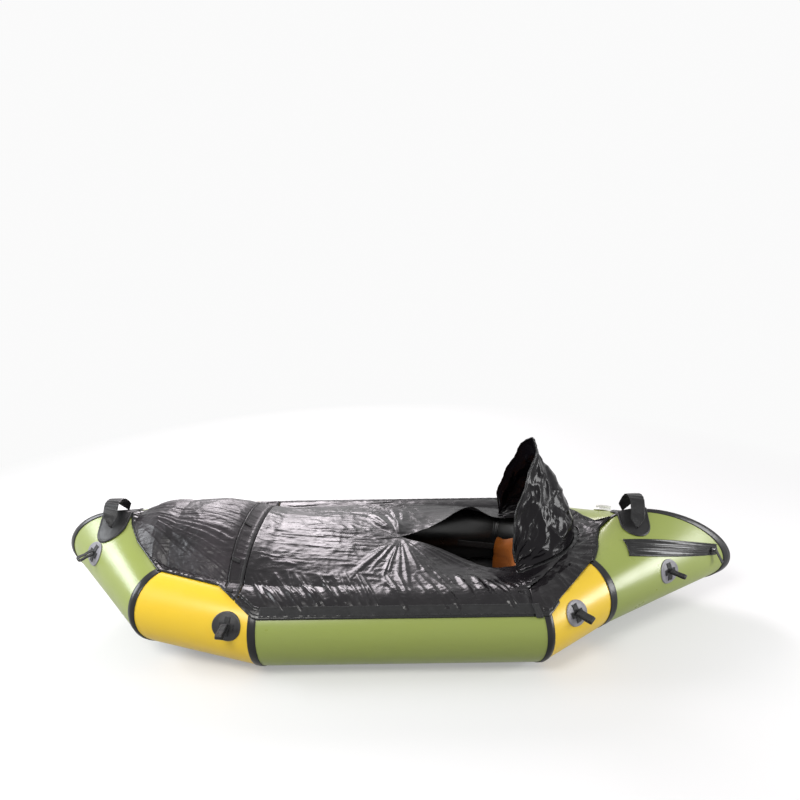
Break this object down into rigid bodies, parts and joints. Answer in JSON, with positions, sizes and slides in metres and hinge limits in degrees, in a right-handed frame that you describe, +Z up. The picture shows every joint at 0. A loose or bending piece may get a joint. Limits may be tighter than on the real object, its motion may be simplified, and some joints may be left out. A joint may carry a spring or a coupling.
{
  "type": "packraft",
  "caption": "Inflatable packraft: mitred tube hull with upturned bow and stern, spray deck with a fold-back middle panel, hooded collar, seat, handles, lashing loops, valve and cargo zip.",
  "frame": {"origin": "amidships on the underside of the floor sheet, which is what the raft rests on", "axes": "+X from bow to stern, +Y to starboard (the side away from the camera), +Z up"},
  "size_m": [2.4587, 0.995, 0.6432],
  "materials": {
    "green_fabric": "satin coated fabric",
    "yellow_fabric": "satin coated fabric",
    "black_tape": "satin coated tape",
    "grey_patch": "satin coated fabric",
    "deck_cloth": "glossy coated cloth",
    "hook_and_loop": "matt hook-and-loop tape",
    "orange_fabric": "matt coated fabric",
    "floor_fabric": "matt coated fabric",
    "black_webbing": "woven webbing",
    "white_plastic": "matt",
    "black_plastic": "matt"
  },
  "bodies": {
    "hull": {"bow_deck": "deck_cloth", "bow_handle_pad": "black_tape", "bow_tip_tape": "black_tape", "deck_join_band": "hook_and_loop", "floor_sheet": "floor_fabric", "port_bow_patch": "grey_patch", "port_bow_seam_tape": "black_tape", "port_bow_tube": "green_fabric", "port_front_corner_tube": "yellow_fabric", "port_front_patch": "black_tape", "port_front_seam_tape": "black_tape", "port_rear_corner_tube": "yellow_fabric", "port_rear_patch": "grey_patch", "port_rear_seam_tape": "black_tape", "port_seat_strap": "black_webbing", "port_side_tube": "green_fabric", "port_stern_patch": "grey_patch", "port_stern_seam_tape": "black_tape", "port_stern_tube": "green_fabric", "seat_cushion": "orange_fabric", "starboard_bow_patch": "grey_patch", "starboard_bow_seam_tape": "black_tape", "starboard_bow_tube": "green_fabric", "starboard_deck_strip": "deck_cloth", "starboard_front_corner_tube": "yellow_fabric", "starboard_front_patch": "black_tape", "starboard_front_seam_tape": "black_tape", "starboard_rear_corner_tube": "yellow_fabric", "starboard_rear_patch": "grey_patch", "starboard_rear_seam_tape": "black_tape", "starboard_seat_strap": "black_webbing", "starboard_side_tube": "green_fabric", "starboard_stern_patch": "grey_patch", "starboard_stern_seam_tape": "black_tape", "starboard_stern_tube": "green_fabric", "stern_deck": "deck_cloth", "stern_handle_pad": "black_tape", "stern_tip_tape": "black_tape", "valve_seat": "white_plastic", "zip_strip": "black_tape"},
    "deck_panel": {"middle_deck_panel": "deck_cloth", "port_hook_strip": "hook_and_loop", "panel_pull_tab": "black_webbing"},
    "collar": {"collar": "deck_cloth"},
    "backrest": {"seat_backrest": "orange_fabric"},
    "bow_strap": {"bow_handle_strap": "black_webbing"},
    "stern_strap": {"stern_handle_strap": "black_webbing"},
    "valve_cap": {"valve_cap": "white_plastic"},
    "zip_slider": {"zip_slider": "black_plastic"},
    "zip_pull": {"zip_pull": "black_webbing"},
    "port_bow_loop": {"port_bow_loop": "black_webbing"},
    "port_front_loop": {"port_front_loop": "black_webbing"},
    "port_rear_loop": {"port_rear_loop": "black_webbing"},
    "port_stern_loop": {"port_stern_loop": "black_webbing"},
    "starboard_bow_loop": {"starboard_bow_loop": "black_webbing"},
    "starboard_front_loop": {"starboard_front_loop": "black_webbing"},
    "starboard_rear_loop": {"starboard_rear_loop": "black_webbing"},
    "starboard_stern_loop": {"starboard_stern_loop": "black_webbing"}
  },
  "joints": [
    {"name": "deck_panel_fold", "type": "hinge", "parent": "hull", "child": "deck_panel", "pos_m": [0, 0.3, 0.27276], "axis": [-1, 0, 0], "range_deg": [0, 110]},
    {"name": "collar_tilt", "type": "hinge", "parent": "deck_panel", "child": "collar", "pos_m": [0.61884, 0, 0.29577], "axis": [0, 1, 0], "range_deg": [0, 60]},
    {"name": "backrest_recline", "type": "hinge", "parent": "hull", "child": "backrest", "pos_m": [0.448, 0, 0.00688], "axis": [0, 1, 0], "range_deg": [0, 15]},
    {"name": "bow_strap_swing", "type": "hinge", "parent": "hull", "child": "bow_strap", "pos_m": [-1.019, 0, 0.37015], "axis": [0, 1, 0], "range_deg": [-35, 35]},
    {"name": "stern_strap_swing", "type": "hinge", "parent": "hull", "child": "stern_strap", "pos_m": [0.82001, 0, 0.33927], "axis": [0, 1, 0], "range_deg": [-35, 35]},
    {"name": "valve_cap_turn", "type": "hinge", "parent": "hull", "child": "valve_cap", "pos_m": [0.77736, 0.15634, 0.29542], "axis": [0.1665, 0.4622, 0.871], "range_deg": [0, 90]},
    {"name": "zip_slide", "type": "hinge", "parent": "hull", "child": "zip_slider", "pos_m": [0.52425, 0.94314, -0.19753], "axis": [0.0791, 0.4363, 0.8963], "range_deg": [-14.7, 0]},
    {"name": "zip_pull_swing", "type": "hinge", "parent": "zip_slider", "child": "zip_pull", "pos_m": [1.13455, -0.04683, 0.23081], "axis": [-0.7472, -0.5869, -0.3118], "range_deg": [0, 60]},
    {"name": "port_bow_loop_flip", "type": "hinge", "parent": "hull", "child": "port_bow_loop", "pos_m": [-1.07845, -0.13571, 0.30146], "axis": [-0.6683, 0.7262, 0.1611], "range_deg": [-35, 110]},
    {"name": "port_front_loop_flip", "type": "hinge", "parent": "hull", "child": "port_front_loop", "pos_m": [-0.54867, -0.44787, 0.20877], "axis": [-0.9852, 0.1714, 0], "range_deg": [-35, 110]},
    {"name": "port_rear_loop_flip", "type": "hinge", "parent": "hull", "child": "port_rear_loop", "pos_m": [0.54723, -0.40227, 0.20822], "axis": [-0.6278, -0.6532, -0.4234], "range_deg": [-35, 110]},
    {"name": "port_stern_loop_flip", "type": "hinge", "parent": "hull", "child": "port_stern_loop", "pos_m": [0.92911, -0.17226, 0.21465], "axis": [-0.4946, -0.5807, -0.6466], "range_deg": [-35, 110]},
    {"name": "starboard_bow_loop_flip", "type": "hinge", "parent": "hull", "child": "starboard_bow_loop", "pos_m": [-1.07845, 0.13571, 0.30146], "axis": [0.6683, 0.7262, -0.1611], "range_deg": [-35, 110]},
    {"name": "starboard_front_loop_flip", "type": "hinge", "parent": "hull", "child": "starboard_front_loop", "pos_m": [-0.54867, 0.44787, 0.20877], "axis": [0.9852, 0.1714, 0], "range_deg": [-35, 110]},
    {"name": "starboard_rear_loop_flip", "type": "hinge", "parent": "hull", "child": "starboard_rear_loop", "pos_m": [0.54723, 0.40227, 0.20822], "axis": [0.6278, -0.6532, 0.4234], "range_deg": [-35, 110]},
    {"name": "starboard_stern_loop_flip", "type": "hinge", "parent": "hull", "child": "starboard_stern_loop", "pos_m": [0.92911, 0.17226, 0.21465], "axis": [0.4946, -0.5807, 0.6466], "range_deg": [-35, 110]}
  ]
}
